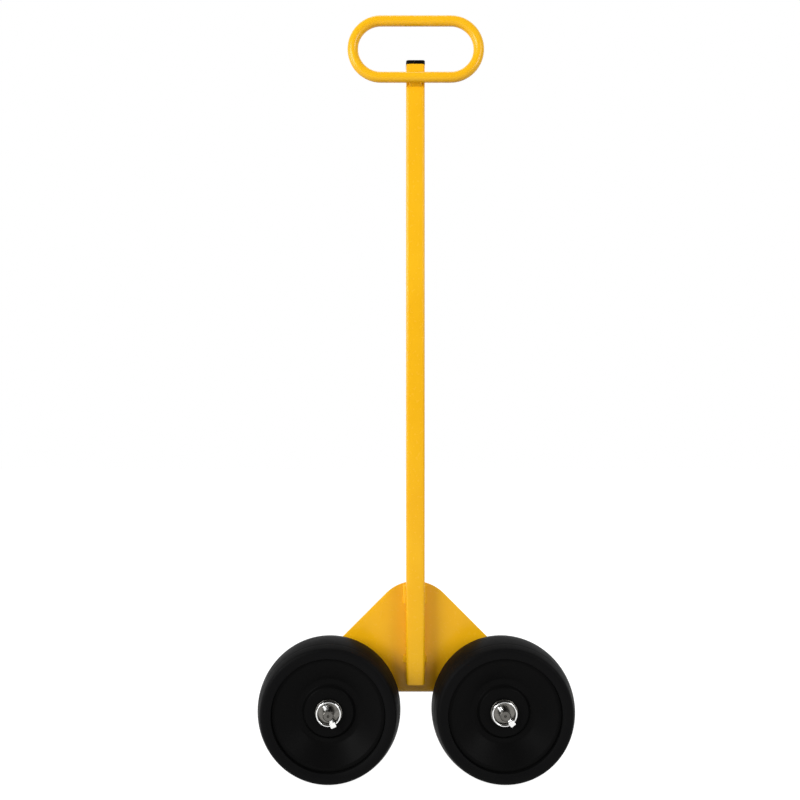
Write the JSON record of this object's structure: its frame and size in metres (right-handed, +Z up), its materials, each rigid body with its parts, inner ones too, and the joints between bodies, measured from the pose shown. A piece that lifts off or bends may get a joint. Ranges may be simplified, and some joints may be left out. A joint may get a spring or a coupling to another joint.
{
  "type": "door dolly",
  "caption": "Door dolly with in-line rubber wheels, a bent plate load bed with pointed upright and lip, and a square push pole with a loop handle.",
  "frame": {"origin": "on the floor, in the middle of the dolly's length and depth", "axes": "+X along the wheels' travel, +Y from the wheels and pole towards the load bed, +Z up"},
  "size_m": [0.563, 0.2016, 1.3659],
  "materials": {
    "yellow_paint": "glossy yellow powder coat on steel",
    "black_cap": "satin black moulded plastic",
    "black_rubber": "satin black solid rubber",
    "black_plastic": "semi-gloss black moulded plastic",
    "zinc": "bright zinc plate",
    "steel": "ground bearing steel"
  },
  "bodies": {
    "frame": {"bed_plate": "yellow_paint", "pole": "yellow_paint", "pole_cap": "black_cap", "handle_loop": "yellow_paint", "pole_welds": "yellow_paint", "handle_welds": "yellow_paint", "left_axle": "zinc", "left_axle_collar": "yellow_paint", "left_axle_welds": "yellow_paint", "left_front_washer": "zinc", "left_back_washer": "zinc", "left_bearing_spacer": "steel", "left_front_inner_race": "steel", "left_back_inner_race": "steel", "left_lynch_pin": "zinc", "right_axle": "zinc", "right_axle_collar": "yellow_paint", "right_axle_welds": "yellow_paint", "right_front_washer": "zinc", "right_back_washer": "zinc", "right_bearing_spacer": "steel", "right_front_inner_race": "steel", "right_back_inner_race": "steel", "right_lynch_pin": "zinc"},
    "left_wheel": {"left_tyre": "black_rubber", "left_wheel_centre": "black_plastic", "left_front_outer_race": "steel", "left_back_outer_race": "steel", "left_front_balls": "steel", "left_back_balls": "steel"},
    "left_ring": {"left_lynch_ring": "zinc"},
    "right_wheel": {"right_tyre": "black_rubber", "right_wheel_centre": "black_plastic", "right_front_outer_race": "steel", "right_back_outer_race": "steel", "right_front_balls": "steel", "right_back_balls": "steel"},
    "right_ring": {"right_lynch_ring": "zinc"}
  },
  "joints": [
    {"name": "left_wheel_spin", "type": "hinge", "parent": "frame", "child": "left_wheel", "pos_m": [-0.1545, -0.0568, 0.127], "axis": [0, 1, 0], "continuous": true},
    {"name": "left_lynch_ring_swing", "type": "hinge", "parent": "frame", "child": "left_ring", "pos_m": [-0.14642, -0.08516, 0.10885], "axis": [0.9135, 0, 0.4067], "range_deg": [0, 165]},
    {"name": "right_wheel_spin", "type": "hinge", "parent": "frame", "child": "right_wheel", "pos_m": [0.1545, -0.0568, 0.127], "axis": [0, 1, 0], "continuous": true},
    {"name": "right_lynch_ring_swing", "type": "hinge", "parent": "frame", "child": "right_ring", "pos_m": [0.167, -0.08516, 0.11156], "axis": [0.7771, 0, 0.6293], "range_deg": [0, 165]}
  ]
}
